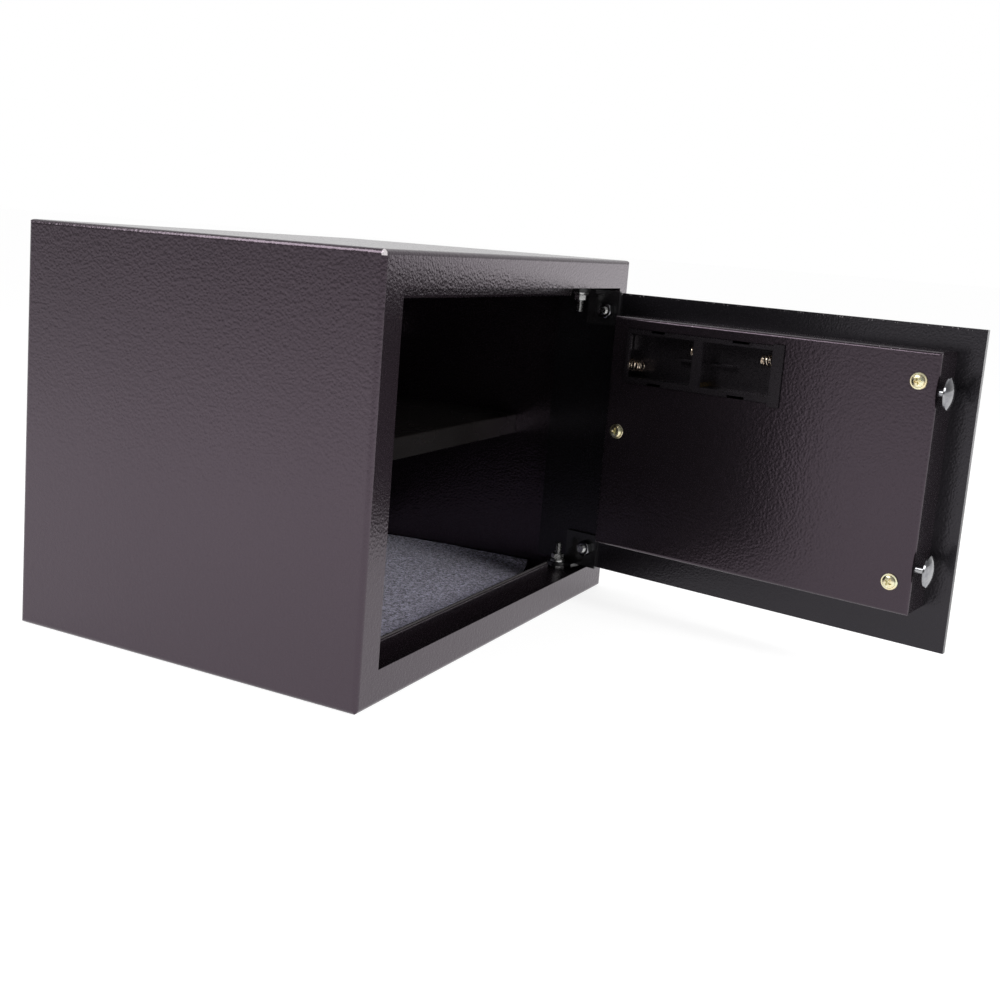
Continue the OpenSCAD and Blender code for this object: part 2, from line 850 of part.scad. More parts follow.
module knob_shaft() {
    color(steel_grey) on_door()
        translate([knob_x, -16, knob_z]) along_y() cylinder(d = shaft_d, h = carriage_y - 1 + 16 - 0.5);
}

// Disc on the end of the shaft with an eccentric pin that drives the carriage.
module drive_disc() {
    t = 3;
    y = carriage_y - 1.5 - t;
    color(steel_grey) on_door()
        translate([knob_x, y, knob_z])
            along_y()
                union() {
                    difference() {
                        cylinder(d = 30, h = t);
                        translate([0, 0, -cut]) cylinder(d = shaft_d, h = t + 2 * cut);
                    }
                    rotate([0, 0, -45])
                        translate([drive_r, 0, 0]) cylinder(d = drive_pin_d, h = t + 1.5 + carriage_t + 2);
                }
}

// Sprung plunger: let out, its tip stands in the carriage's slot.
module solenoid_plunger() {
    tip = carriage_y + carriage_t + 1.5;
    color(steel_grey) on_door()
        translate([solenoid_x, door_t + 8, solenoid_z])
            along_y() cylinder(d = plunger_d, h = tip - door_t - 8);
}

module key_plug() {
    color([0.75, 0.62, 0.32]) on_door()
        translate([lock_x, -housing_y - 1.8, lock_z])
            along_y()
                difference() {
                    cylinder(d = plug_d, h = housing_y + door_t + 11.8);
                    translate([-0.9, -4, -cut]) cube([1.8, 8, 9]);
                }
}

module key_cam() {
    y = door_t + 9;
    color(steel_grey) on_door()
        translate([lock_x, y, lock_z])
            along_y()
                union() {
                    block([-5, 0, 1], [5, 22, 3]);
                    translate([0, 0, 1]) cylinder(d = 14, h = 2);
                }
}

cabinet_shell();
front_frame();
back_panel();
shelf();
shelf_supports();
floor_mat();
pivot_bolts();
pivot_washers();
pivot_nuts();
door_plate();
door_cover();
cover_posts();
cover_screws();
hinge_bracket_lower();
hinge_bracket_upper();
bracket_studs();
bracket_nuts();
battery_tray();
battery_plates();
battery_springs();
guide_posts();
guide_washers();
circuit_board();
board_spacers();
solenoid_frame();
solenoid_coil();
lock_housing();
lamp_lenses();
key_barrel();
bolt_carriage();
locking_bolts();
knob();
knob_shaft();
drive_disc();
solenoid_plunger();
key_plug();
key_cam();
for (i = [0:11])
    key_cap(i);
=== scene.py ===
"""Studio scene for the in-room safe: looks, small detailed pieces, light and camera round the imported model.

Lengths are metres in the part's own frame. Pieces of the door are drawn with the door shut and swung
to its rest angle with the door's own joint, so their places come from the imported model.
"""

import json
import math
import bmesh
import bpy
from mathutils import Matrix, Vector, noise


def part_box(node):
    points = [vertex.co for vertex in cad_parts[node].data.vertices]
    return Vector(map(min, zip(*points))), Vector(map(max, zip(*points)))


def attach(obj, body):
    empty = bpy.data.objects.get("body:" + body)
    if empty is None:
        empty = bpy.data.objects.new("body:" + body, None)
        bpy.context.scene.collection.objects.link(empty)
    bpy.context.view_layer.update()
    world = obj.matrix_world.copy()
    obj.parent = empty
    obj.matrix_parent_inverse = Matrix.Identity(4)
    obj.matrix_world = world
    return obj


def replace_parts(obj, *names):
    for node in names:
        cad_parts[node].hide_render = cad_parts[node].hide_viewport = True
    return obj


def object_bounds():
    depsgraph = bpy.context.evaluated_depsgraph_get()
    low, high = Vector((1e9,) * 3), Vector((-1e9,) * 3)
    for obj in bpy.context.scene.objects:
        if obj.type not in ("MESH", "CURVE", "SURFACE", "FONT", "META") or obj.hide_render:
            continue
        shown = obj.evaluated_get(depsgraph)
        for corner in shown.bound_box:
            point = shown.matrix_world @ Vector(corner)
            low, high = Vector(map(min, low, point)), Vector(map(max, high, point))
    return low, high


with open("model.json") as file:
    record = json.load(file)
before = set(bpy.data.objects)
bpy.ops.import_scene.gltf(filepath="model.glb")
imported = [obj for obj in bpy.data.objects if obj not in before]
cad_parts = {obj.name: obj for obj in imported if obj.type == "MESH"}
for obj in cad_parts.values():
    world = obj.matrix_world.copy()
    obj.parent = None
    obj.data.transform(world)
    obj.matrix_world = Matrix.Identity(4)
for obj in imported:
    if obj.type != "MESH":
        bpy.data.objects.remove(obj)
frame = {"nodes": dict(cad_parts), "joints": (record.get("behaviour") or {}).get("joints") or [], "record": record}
cad_low, cad_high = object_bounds()

MM = 0.001
NODES = frame["nodes"]
JOINTS = {joint["name"]: joint for joint in frame["joints"]}


# ---- The door's own frame ---------------------------------------------------------------------

SWING = JOINTS["door_swing"]
PIVOT = Vector(SWING["pos_m"])
DOOR_OPEN = -math.radians(SWING["range_deg"][0])
DOOR = (
    Matrix.Translation(PIVOT)
    @ Matrix.Rotation(DOOR_OPEN, 4, "Z")
    @ Matrix.Translation(-PIVOT)
)
SHUT = DOOR.inverted()


def corners(points):
    """Lowest and highest corner of some points."""
    low = Vector(min(p[i] for p in points) for i in range(3))
    high = Vector(max(p[i] for p in points) for i in range(3))
    return low, high


def shut_corners(points):
    """Lowest and highest corner of some points of the door, with the door shut."""
    return corners([SHUT @ p for p in points])


def shut_box(node):
    """Lowest and highest corner of a CAD node of the door, with the door shut."""
    return shut_corners([v.co for v in NODES[node].data.vertices])


def islands(node):
    """The separate solids of a node, each as a list of points."""
    mesh = NODES[node].data
    keys = {}
    for v in mesh.vertices:
        keys.setdefault(tuple(round(c, 6) for c in v.co), len(keys))
    ids = [keys[tuple(round(c, 6) for c in v.co)] for v in mesh.vertices]
    parent = list(range(len(keys)))

    def root(i):
        while parent[i] != i:
            parent[i] = parent[parent[i]]
            i = parent[i]
        return i

    for edge in mesh.edges:
        a, b = (root(ids[i]) for i in edge.vertices)
        parent[a] = b
    groups = {}
    for key, i in keys.items():
        groups.setdefault(root(i), []).append(Vector(key))
    return sorted(groups.values(), key=lambda g: tuple(round(c, 4) for c in sum(g, Vector()) / len(g)))


def middle(low, high):
    return (low + high) / 2


# ---- Camera and light -------------------------------------------------------------------------

# The camera's lens, where it stands, and which ways are backwards and up for it
LENS_MM = 46.14
SENSOR_MM = 36.0
LENS_SHIFT = (0.0437, -0.0570)
CAMERA_PLACE = (-0.7368, -0.4678, 0.2597)
CAMERA_BACK = (-0.87444, -0.45793, 0.16014)
CAMERA_UP = (0.10619, 0.14142, 0.98424)
# Direction of the bright backdrop, the brightness of the surroundings there and opposite it, and the
# cosines of the angles from that direction between which the one fades into the other
BACKDROP_WAY = (0.84, 0.44, 0.32)
BACKDROP = 1.3
NEAR_SIDE = 0.34
BACKDROP_FADE = (0.15, 0.95)
FLOOR_SIZE = 60


def make_camera():
    data = bpy.data.cameras.new("camera")
    data.lens = LENS_MM
    data.sensor_width = SENSOR_MM
    data.shift_x, data.shift_y = LENS_SHIFT
    data.clip_end = 50.0
    cam = bpy.data.objects.new("camera", data)
    bpy.context.scene.collection.objects.link(cam)
    back = Vector(CAMERA_BACK)
    side = Vector(CAMERA_UP).cross(back).normalized()
    up = back.cross(side).normalized()
    turn = Matrix((side, up, back)).transposed().to_4x4()
    cam.matrix_world = Matrix.Translation(CAMERA_PLACE) @ turn
    bpy.context.scene.camera = cam


def area_light(name, place, target, size, power):
    data = bpy.data.lights.new(name, "AREA")
    data.shape = "RECTANGLE"
    data.size, data.size_y = size
    data.energy = power
    light = bpy.data.objects.new(name, data)
    bpy.context.scene.collection.objects.link(light)
    light.location = place
    aim = Vector(target) - Vector(place)
    light.rotation_euler = aim.to_track_quat("-Z", "Y").to_euler()
    return light


def make_world():
    """White background. The light on the safe is bright from behind it and dim from the camera's side."""
    world = bpy.data.worlds.new("studio")
    bpy.context.scene.world = world
    world.use_nodes = True
    tree = world.node_tree
    shown = tree.nodes["Background"]
    shown.inputs["Color"].default_value = (1.0, 1.0, 1.0, 1.0)
    lit = tree.nodes.new("ShaderNodeBackground")
    along = tree.nodes.new("ShaderNodeVectorMath")
    along.operation = "DOT_PRODUCT"
    along.inputs[1].default_value = BACKDROP_WAY
    tree.links.new(tree.nodes.new("ShaderNodeTexCoord").outputs["Generated"], along.inputs[0])
    fade = tree.nodes.new("ShaderNodeMapRange")
    tree.links.new(along.outputs["Value"], fade.inputs["Value"])
    fade.inputs["From Min"].default_value, fade.inputs["From Max"].default_value = BACKDROP_FADE
    fade.inputs["To Min"].default_value = NEAR_SIDE
    fade.inputs["To Max"].default_value = BACKDROP
    tree.links.new(fade.outputs["Result"], lit.inputs["Strength"])
    mix = tree.nodes.new("ShaderNodeMixShader")
    tree.links.new(tree.nodes.new("ShaderNodeLightPath").outputs["Is Camera Ray"], mix.inputs["Fac"])
    tree.links.new(lit.outputs["Background"], mix.inputs[1])
    tree.links.new(shown.outputs["Background"], mix.inputs[2])
    tree.links.new(mix.outputs["Shader"], tree.nodes["World Output"].inputs["Surface"])


def make_studio():
    """Soft front key that lights the mat and isn't mirrored in the gloss, a box at the right front for the
    rails, and one over the left floor."""
    make_world()
    bpy.context.scene.view_settings.view_transform = "Standard"
    key = area_light("key", (-0.2, -1.35, 0.85), (-0.03, 0.0, 0.03), (0.5, 0.5), 15)
    key.visible_glossy = False
    area_light("right_front", (1.1, -0.62, 0.1), (0.15, -0.12, 0.15), (0.5, 0.5), 0.75)
    area_light("left_floor", (-0.8, 0.4, 0.8), (-0.6, 0.3, 0.0), (0.7, 0.7), 10)
    bpy.ops.mesh.primitive_plane_add(size=FLOOR_SIZE, location=(0, 0, 0))
    floor = bpy.context.object
    floor.name = "studio_floor"
    floor.data.materials.append(floor_paint())


# ---- Materials --------------------------------------------------------------------------------


class Shader:
    """A material's node tree, with short calls for the nodes used here."""

    def __init__(self, name):
        self.material = bpy.data.materials.new(name)
        self.material.use_nodes = True
        self.tree = self.material.node_tree
        self.bsdf = self.tree.nodes["Principled BSDF"]
        self.coords = self.tree.nodes.new("ShaderNodeTexCoord").outputs["Object"]

    def set(self, **values):
        """Constant values of the shader's own sockets, with _ for each space in a socket's name."""
        for name, value in values.items():
            self.bsdf.inputs[name.replace("_", " ")].default_value = value

    def node(self, kind, inputs=(), **settings):
        made = self.tree.nodes.new(kind)
        for name, value in settings.items():
            setattr(made, name, value)
        for name, value in dict(inputs).items():
            if isinstance(value, bpy.types.NodeSocket):
                self.tree.links.new(value, made.inputs[name])
            else:
                made.inputs[name].default_value = value
        return made

    def noise(self, scale, detail=2.0, roughness=0.5, vector=None):
        inputs = {"Vector": vector or self.coords, "Scale": scale, "Detail": detail, "Roughness": roughness}
        return self.node("ShaderNodeTexNoise", inputs).outputs[0]

    def cells(self, scale, feature, **inputs):
        inputs.update(Vector=self.coords, Scale=scale)
        return self.node("ShaderNodeTexVoronoi", inputs, feature=feature).outputs["Distance"]

    def ramp(self, factor, low, high, a=0.0, b=1.0):
        """factor mapped from low..high to a..b, held at both ends."""
        made = self.node(
            "ShaderNodeMapRange",
            {"Value": factor, "From Min": low, "From Max": high, "To Min": a, "To Max": b},
        )
        return made.outputs[0]

    def math(self, operation, a, b):
        made = self.node("ShaderNodeMath", operation=operation)
        for i, value in enumerate((a, b)):
            if isinstance(value, bpy.types.NodeSocket):
                self.tree.links.new(value, made.inputs[i])
            else:
                made.inputs[i].default_value = value
        return made.outputs[0]

    def mix(self, factor, a, b):
        made = self.node("ShaderNodeMix", data_type="RGBA")
        for name, value in (("Factor", factor), ("A", a), ("B", b)):
            sockets = [s for s in made.inputs if s.name == name and s.enabled]
            if isinstance(value, bpy.types.NodeSocket):
                self.tree.links.new(value, sockets[0])
            else:
                sockets[0].default_value = value
        return [s for s in made.outputs if s.enabled][0]

    def inside(self, low, high):
        """1 inside a box of the part's frame and 0 outside it, with a soft border 0.3 mm wide."""
        kind = "ShaderNodeVectorMath"
        offset = self.node(kind, {0: self.coords, 1: middle(low, high)}, operation="SUBTRACT").outputs[0]
        away = self.node(kind, {0: offset}, operation="ABSOLUTE").outputs[0]
        over = self.node(kind, {0: away, 1: (high - low) / 2}, operation="SUBTRACT").outputs[0]
        parts = self.node("ShaderNodeSeparateXYZ", {"Vector": over}).outputs
        farthest = self.math("MAXIMUM", self.math("MAXIMUM", parts[0], parts[1]), parts[2])
        return self.ramp(farthest, -0.3 * MM, 0.0, 1.0, 0.0)

    def stretch(self, scale):
        made = self.node("ShaderNodeMapping", {"Vector": self.coords, "Scale": scale})
        return made.outputs["Vector"]

    def link(self, socket, name):
        self.tree.links.new(socket, self.bsdf.inputs[name])

    def bump(self, height, strength, distance, normal=None):
        inputs = {"Height": height, "Strength": strength, "Distance": distance}
        if normal is not None:
            inputs["Normal"] = normal
        return self.node("ShaderNodeBump", inputs).outputs["Normal"]


def rgb(r, g, b):
    return (r, g, b, 1.0)


def floor_paint():
    """White floor that glows, as a light table does, so it runs into the background with faint shadows."""
    s = Shader("studio_floor")
    s.set(Base_Color=rgb(0.34, 0.34, 0.34), Roughness=0.9, Emission_Strength=0.82)
    s.set(Specular_IOR_Level=0.0, Emission_Color=rgb(1, 1, 1))
    return s.material


def powder_coat(name, dark, light, tint, grain=640.0, texture=1.0, gloss=0.8, chips_and_highlights=()):
    """Dark powder coat: pebbled skin with cells 1000 / grain millimetres across, faint patches of tone, and pale
    marks:
    chips that show pale metal, and painted highlights, unbroken pale lines where light catches an edge. Each mark
    area is its lowest and highest corner, the share of it that is pale and how pale the mark is."""
    s = Shader(name)
    pebble = s.cells(grain, "SMOOTH_F1", Smoothness=0.9)
    swell = s.noise(grain * 0.35, detail=2.0)
    fine = s.noise(grain * 3.0, detail=3.0)
    broad = s.noise(9.0, detail=2.0)
    paint = s.mix(s.ramp(broad, 0.3, 0.7), dark, light)
    # A mark with a large share gives an unbroken pale line, which is painted highlight rather than wear.
    for low, high, share, pale in chips_and_highlights:
        speckle = s.noise(620.0, detail=3.0, roughness=0.7)
        bare_and_highlight = s.ramp(speckle, 0.74 - 0.5 * share, 0.78 - 0.5 * share)
        chip_and_highlight_mask = s.math("MULTIPLY", s.inside(low, high), bare_and_highlight)
        paint = s.mix(chip_and_highlight_mask, paint, rgb(pale, 0.94 * pale, 0.96 * pale))
    s.link(paint, "Base Color")
    s.set(Specular_IOR_Level=gloss, Specular_Tint=tint)
    s.link(s.ramp(fine, 0.3, 0.7, 0.16, 0.30), "Roughness")
    coarse = s.bump(pebble, 0.3 * texture, 0.0004)
    middling = s.bump(swell, 0.1 * texture, 0.0005, coarse)
    s.link(s.bump(fine, 0.15 * texture, 0.0001, middling), "Normal")
    return s.material


def enamel(name, dark, light, roughness):
    """Smooth enamel with slight ripple and dust-fine roughness changes."""
    s = Shader(name)
    broad = s.noise(14.0, detail=3.0)
    fine = s.noise(900.0, detail=2.0)
    s.link(s.mix(s.ramp(broad, 0.3, 0.7), dark, light), "Base Color")
    s.set(Specular_IOR_Level=0.7)
    s.link(s.ramp(broad, 0.3, 0.7, roughness - 0.05, roughness + 0.08), "Roughness")
    s.link(s.bump(fine, 0.12, 0.00008), "Normal")
    return s.material


def metal(name, colour, shade, roughness, bump=0.05):
    """Plated or machined metal with faint stains and fine scratches."""
    s = Shader(name)
    stain = s.noise(260.0, detail=4.0)
    scratch = s.noise(600.0, detail=3.0, vector=s.stretch((1.0, 1.0, 12.0)))
    s.set(Metallic=1.0)
    s.link(s.mix(s.ramp(stain, 0.35, 0.7), colour, shade), "Base Color")
    s.link(s.ramp(scratch, 0.3, 0.7, roughness * 0.7, roughness * 1.4), "Roughness")
    s.link(s.bump(scratch, bump, 0.00005), "Normal")
    return s.material


def plastic(name, dark, light, roughness):
    """Moulded plastic with a fine spark-eroded grain."""
    s = Shader(name)
    speck = s.noise(1400.0, detail=3.0)
    broad = s.noise(20.0)
    s.link(s.mix(s.ramp(broad, 0.3, 0.7), dark, light), "Base Color")
    s.set(Specular_Tint=rgb(1.0, 0.90, 1.0))
    s.link(s.ramp(speck, 0.3, 0.7, roughness - 0.06, roughness + 0.08), "Roughness")
    s.link(s.bump(speck, 0.15, 0.00006), "Normal")
    return s.material


def felt_cloth():
    """Needle felt: blue-grey with pale fibres and dark specks about a millimetre across, and fuzzy sheen."""
    s = Shader("felt")
    clump = s.noise(420.0, detail=3.0, roughness=0.7)
    fibre = s.noise(1100.0, detail=3.0, roughness=0.8, vector=s.stretch((1.0, 0.5, 1.0)))
    speck = s.noise(760.0, detail=2.0, roughness=0.6)
    blend = s.math("ADD", s.math("MULTIPLY", clump, 0.5), s.math("MULTIPLY", fibre, 0.5))
    wool = s.mix(s.ramp(blend, 0.42, 0.58), rgb(0.036, 0.034, 0.060), rgb(0.56, 0.53, 0.72))
    s.link(s.mix(s.ramp(speck, 0.38, 0.46), rgb(0.02, 0.02, 0.03), wool), "Base Color")
    s.set(Roughness=0.95, Sheen_Weight=0.3, Sheen_Roughness=0.5, Specular_IOR_Level=0.15)
    coarse = s.bump(clump, 0.6, 0.0012)
    s.link(s.bump(fibre, 0.8, 0.0005, coarse), "Normal")
    return s.material


def solder_mask():
    """Green circuit board with faint copper lines under its lacquer."""
    s = Shader("solder_mask")
    trace = s.cells(420.0, "DISTANCE_TO_EDGE")
    s.link(s.mix(s.ramp(trace, 0.04, 0.07), rgb(0.03, 0.16, 0.06), rgb(0.01, 0.07, 0.03)), "Base Color")
    s.set(Roughness=0.3)
    s.link(s.bump(trace, 0.1, 0.00005), "Normal")
    return s.material


def coloured_lens(name, colour):
    """Clear coloured plastic with a slight haze."""
    s = Shader(name)
    haze = s.noise(500.0)
    s.set(Base_Color=colour, IOR=1.49, Transmission_Weight=0.35)
    s.link(s.ramp(haze, 0.3, 0.7, 0.08, 0.16), "Roughness")
    return s.material


# Tints of the coats' gloss, and the darker and lighter patches of the cabinet's paint
PLUM_GLOSS = rgb(1.0, 0.79, 0.96)
SLATE_GLOSS = rgb(0.96, 0.90, 1.0)
CABINET_DARK = rgb(0.0065, 0.0047, 0.0060)
CABINET_LIGHT = rgb(0.0088, 0.0065, 0.0082)


def frame_chips():
    """A bare spot at the front frame's left top corner, and a painted highlight: an almost unbroken pale line
    along the top edge of the lower lip, where light catches it.
    """
    low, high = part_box("front_frame")
    corner = Vector((low.x, low.y, high.z))
    spots = [(corner - Vector((1, 1, 3.6)) * MM, corner + Vector((2.2, 2.6, 1)) * MM, 1.0, 0.5)]
    points = [v.co for v in NODES["front_frame"].data.vertices]
    low_rail = middle(low, high).z - 90 * MM
    lip = corners([p for p in points if p.y > low.y + 19 * MM and p.z < low_rail])
    # The second mark is a painted highlight, not wear: a pale line along the lip's top edge where light catches
    # it.
    highlight_low = Vector((low.x, lip[0].y - 3 * MM, lip[1].z - 0.7 * MM))
    spots.append((highlight_low, lip[1] + Vector((0, 0, 1 * MM)), 0.9, 0.08))
    return spots


def edge_chips(node, reach, share):
    """Bare specks along the top edge of a node."""
    low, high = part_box(node)
    return [(Vector((low.x, low.y, high.z - reach)), high + Vector((0, 0, 1 * MM)), share, 0.3)]


def make_materials():
    return {
        "cabinet_paint": powder_coat("cabinet_paint", CABINET_DARK, CABINET_LIGHT, PLUM_GLOSS),
        # The frame's paint has a real chip at its left top corner and a painted highlight along its lower lip.
        "frame_paint": powder_coat(
            "frame_paint", CABINET_DARK, CABINET_LIGHT, PLUM_GLOSS, chips_and_highlights=frame_chips(),
        ),
        "door_paint": powder_coat(
            "door_paint", rgb(0.0060, 0.0046, 0.0058), rgb(0.0080, 0.0062, 0.0076), PLUM_GLOSS,
            grain=600.0, texture=0.7, gloss=0.66, chips_and_highlights=edge_chips("door_cover", 1.6 * MM, 0.18),
        ),
        "plate_paint": powder_coat(
            "plate_paint", rgb(0.0048, 0.0045, 0.0055), rgb(0.0066, 0.0060, 0.0072), SLATE_GLOSS,
            grain=760.0, texture=0.6, gloss=0.45, chips_and_highlights=edge_chips("door_plate", 1.6 * MM, 0.25),
        ),
        "shelf_paint": enamel("shelf_paint", rgb(0.0080, 0.0070, 0.0068), rgb(0.0110, 0.0098, 0.0094), 0.26),
        "bracket_paint": enamel("bracket_paint", rgb(0.008, 0.008, 0.009), rgb(0.014, 0.013, 0.014), 0.22),
        "felt": felt_cloth(),
        "zinc_steel": metal("zinc_steel", rgb(0.56, 0.56, 0.55), rgb(0.34, 0.34, 0.34), 0.22),
        "yellow_zinc": metal("yellow_zinc", rgb(0.86, 0.74, 0.46), rgb(0.74, 0.74, 0.54), 0.24),
        # This chrome is darker than real chrome: painted shade, standing in for the dim surroundings that the bolt
        # heads and nuts reflect.
        "chrome": metal("chrome", rgb(0.34, 0.34, 0.35), rgb(0.22, 0.22, 0.24), 0.14, bump=0.02),
        "black_plastic": plastic(
            "black_plastic", rgb(0.0050, 0.0043, 0.0050), rgb(0.0080, 0.0069, 0.0082), 0.26
        ),
        "contact_plate": metal("contact_plate", rgb(0.75, 0.75, 0.73), rgb(0.6, 0.6, 0.58), 0.2),
        "contact_spring": metal("contact_spring", rgb(0.88, 0.78, 0.66), rgb(0.76, 0.60, 0.46), 0.2),
        "board": solder_mask(),
        "coil_tape": plastic("coil_tape", rgb(0.04, 0.03, 0.16), rgb(0.06, 0.05, 0.2), 0.3),
        "lens": coloured_lens("lens", rgb(0.6, 0.04, 0.03)),
        "key_plastic": plastic("key_plastic", rgb(0.42, 0.43, 0.44), rgb(0.47, 0.48, 0.49), 0.5),
        "knob_plastic": metal("knob_plastic", rgb(0.62, 0.62, 0.63), rgb(0.55, 0.55, 0.56), 0.3),
        "brass": metal("brass", rgb(0.80, 0.62, 0.30), rgb(0.70, 0.55, 0.28), 0.25),
    }


MATERIALS = make_materials()


def dress_cad():
    """Gives every CAD node the material of its slot, and the front frame the same paint with its chip and its
    painted highlight along the lower lip.
    """
    for row in frame["record"]["subparts"]:
        mesh = NODES[row["node"]].data
        mesh.materials.clear()
        mesh.materials.append(MATERIALS[row["material_slot"]])
    NODES["front_frame"].data.materials[0] = MATERIALS["frame_paint"]


# ---- Making pieces ----------------------------------------------------------------------------


def add_piece(name, bm, body, slot, turn=None, smooth=True):
    """Turns a bmesh into a piece that rides on a body; turn takes it from the drawn to the rest place."""
    if turn is not None:
        bmesh.ops.transform(bm, matrix=turn, verts=bm.verts)
    bmesh.ops.recalc_face_normals(bm, faces=bm.faces)
    mesh = bpy.data.meshes.new(name)
    bm.to_mesh(mesh)
    bm.free()
    mesh.materials.append(MATERIALS[slot])
    if smooth:
        mesh.shade_smooth()
        mesh.set_sharp_from_angle(angle=math.radians(32))
    piece = bpy.data.objects.new(name, mesh)
    bpy.context.scene.collection.objects.link(piece)
    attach(piece, body)
    return piece


def join_rings(bm, rings):
    """Faces between neighbouring rings of vertices; a ring of one vertex is a point."""
    steps = max(len(ring) for ring in rings)
    for low, high in zip(rings, rings[1:]):
        for i in range(steps):
            j = (i + 1) % steps
            face = [low[i % len(low)], low[j % len(low)], high[j % len(high)], high[i % len(high)]]
            unique = list(dict.fromkeys(face))
            if len(unique) > 2:
                bm.faces.new(unique)


def turned(bm, levels, radius_at, place, steps):
    """Solid about z from (level, height) rows; radius_at(level, angle) is 0 where the solid closes."""
    rings = []
    for level, height in levels:
        spokes = [radius_at(level, 2 * math.pi * i / steps) for i in range(steps)]
        if max(spokes) < 1e-7:
            rings.append([bm.verts.new(place @ Vector((0, 0, height)))])
            continue
        ring = []
        for i, radius in enumerate(spokes):
            a = 2 * math.pi * i / steps
            ring.append(bm.verts.new(place @ Vector((radius * math.cos(a), radius * math.sin(a), height))))
        rings.append(ring)
    join_rings(bm, rings)


def lathe(bm, profile, place, steps=48):
    """Revolves (radius, height) points about z; a point at radius 0 closes the end."""
    turned(bm, profile, lambda radius, angle: radius, place, steps)


def thread(bm, diameter, pitch, start, end, place):
    """Threaded rod along z: a triangular ridge that winds once in each pitch, with a bevelled tip."""
    steps = 36
    depth = 0.6 * pitch
    count = max(2, round((end - start) / pitch * 9))
    heights = [start + (end - start) * i / count for i in range(count + 1)]
    levels = [(-1, start)] + [(height, height) for height in heights] + [(-1, end)]

    def radius_at(level, angle):
        if level < 0:
            return 0
        turn = (level / pitch - angle / (2 * math.pi)) % 1.0
        ridge = min(1.0, 1.25 * (1 - abs(2 * turn - 1)))
        full = diameter / 2 - depth * (1 - ridge)
        return min(full, diameter / 2 - depth + 0.9 * (end - level))

    turned(bm, levels, radius_at, place, steps)


def hex_nut(bm, across, height, bore, place, flange=0.0):
    """Hexagon nut with chamfered corners, and a flange of that radius at its foot if it is given."""
    steps = 72
    half = across / 2
    lead = (half / math.cos(math.pi / 6) - 0.95 * half) / math.sqrt(3)
    chamfer = [(("hex", 0.95 * half + lead * math.sqrt(3) * i / 4), lead * i / 4) for i in range(5)]
    levels = [(("ring", bore), 0.0)]
    if flange:
        levels += [(("ring", flange - 0.1 * MM), 0.0), (("ring", flange), 0.15 * MM)]
        levels += [(("ring", flange), 0.45 * MM), (("hex", flange), 0.9 * MM)]
    else:
        levels += chamfer
    levels += [(level, height - up) for level, up in reversed(chamfer)]
    countersink = 0.4 * MM
    levels += [(("ring", bore + countersink), height), (("ring", bore), height - countersink)]
    levels.append((("ring", bore), 0.0))

    def radius_at(level, angle):
        kind, limit = level
        if kind == "ring":
            return limit
        to_flat = (angle + math.pi / 6) % (math.pi / 3) - math.pi / 6
        return min(limit, half / math.cos(to_flat))

    turned(bm, levels, radius_at, place, steps)


def washer(bm, outer, inner, height, place):
    """Flat punched washer with one rounded rim."""
    r = 0.25 * MM
    profile = [(inner, 0), (outer - 0.1 * MM, 0), (outer, 0.1 * MM), (outer, height - r)]
    profile += [(outer - r * (1 - math.cos(a)), height - r + r * math.sin(a)) for a in (0.5, 1.05, 1.57)]
    profile += [(inner, height), (inner, 0)]
    lathe(bm, profile, place, 64)


def tube(bm, path, radius, sides=8):
    """Round wire along a list of points, closed at both ends."""
    rings = []
    for i, point in enumerate(path):
        ahead = (path[min(i + 1, len(path) - 1)] - path[max(i - 1, 0)]).normalized()
        across = ahead.orthogonal() if i == 0 else (across - ahead * across.dot(ahead))
        across = across.normalized()
        other = ahead.cross(across)
        ring = []
        for k in range(sides):
            a = 2 * math.pi * k / sides
            ring.append(bm.verts.new(point + radius * (across * math.cos(a) + other * math.sin(a))))
        rings.append(ring)
    join_rings(bm, [[bm.verts.new(path[0])]] + rings + [[bm.verts.new(path[-1])]])


def dome_profile(radius, rim, rise, edge, steps=14):
    """Profile of a shallow domed head, from the centre of its back to the top of its dome."""
    points = [(0, 0), (radius - edge, 0), (radius, edge), (radius, rim)]
    big = (radius * radius + rise * rise) / (2 * rise)
    for i in range(1, steps + 1):
        r = radius * math.cos(math.pi / 2 * i / steps)
        points.append((r, rim + rise - big + math.sqrt(big * big - r * r)))
    points[-1] = (0, rim + rise)
    return points


ALONG_Y = Matrix.Rotation(-math.pi / 2, 4, "X")


def pivot_places(node):
    """For each pivot, the placing that draws away from the rebate, and the solid's two corners."""
    cabinet_middle = middle(cad_low, cad_high).z
    places = []
    for solid in islands(node):
        low, high = corners(solid)
        centre = middle(low, high)
        if centre.z < cabinet_middle:
            place = Matrix.Translation((centre.x, centre.y, low.z))
        else:
            place = Matrix.Translation((centre.x, centre.y, high.z)) @ Matrix.Rotation(math.pi, 4, "X")
        places.append((place, low, high))
    return places


# ---- Locking bolts ----------------------------------------------------------------------------


def bolts_pieces():
    """Two mushroom-headed bolts, turned smooth from the CAD solids' own places and sizes."""
    shank_r = 2.5 * MM
    neck_r = 3.2 * MM
    bm = bmesh.new()
    for solid in islands("locking_bolts"):
        low, high = shut_corners(solid)
        centre = middle(low, high)
        head_r = (high.z - low.z) / 2
        rim_points = [p.x for p in (SHUT @ q for q in solid) if abs(p.z - centre.z) > 0.9 * head_r]
        back = max(rim_points)
        rise = min(rim_points) - low.x
        place = Matrix.Translation((back, centre.y, centre.z)) @ Matrix.Rotation(-math.pi / 2, 4, "Y")
        lathe(bm, dome_profile(head_r, back - low.x - rise, rise, 0.3 * MM), place, steps=72)
        shank = high.x - back
        lathe(bm, [(0, -shank), (shank_r, -shank), (shank_r, -0.8 * MM), (neck_r, 0), (0, 0)], place, 40)
    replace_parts(add_piece("mushroom_bolts", bm, "bolts", "chrome", DOOR), "locking_bolts")


# ---- Pivots -----------------------------------------------------------------------------------


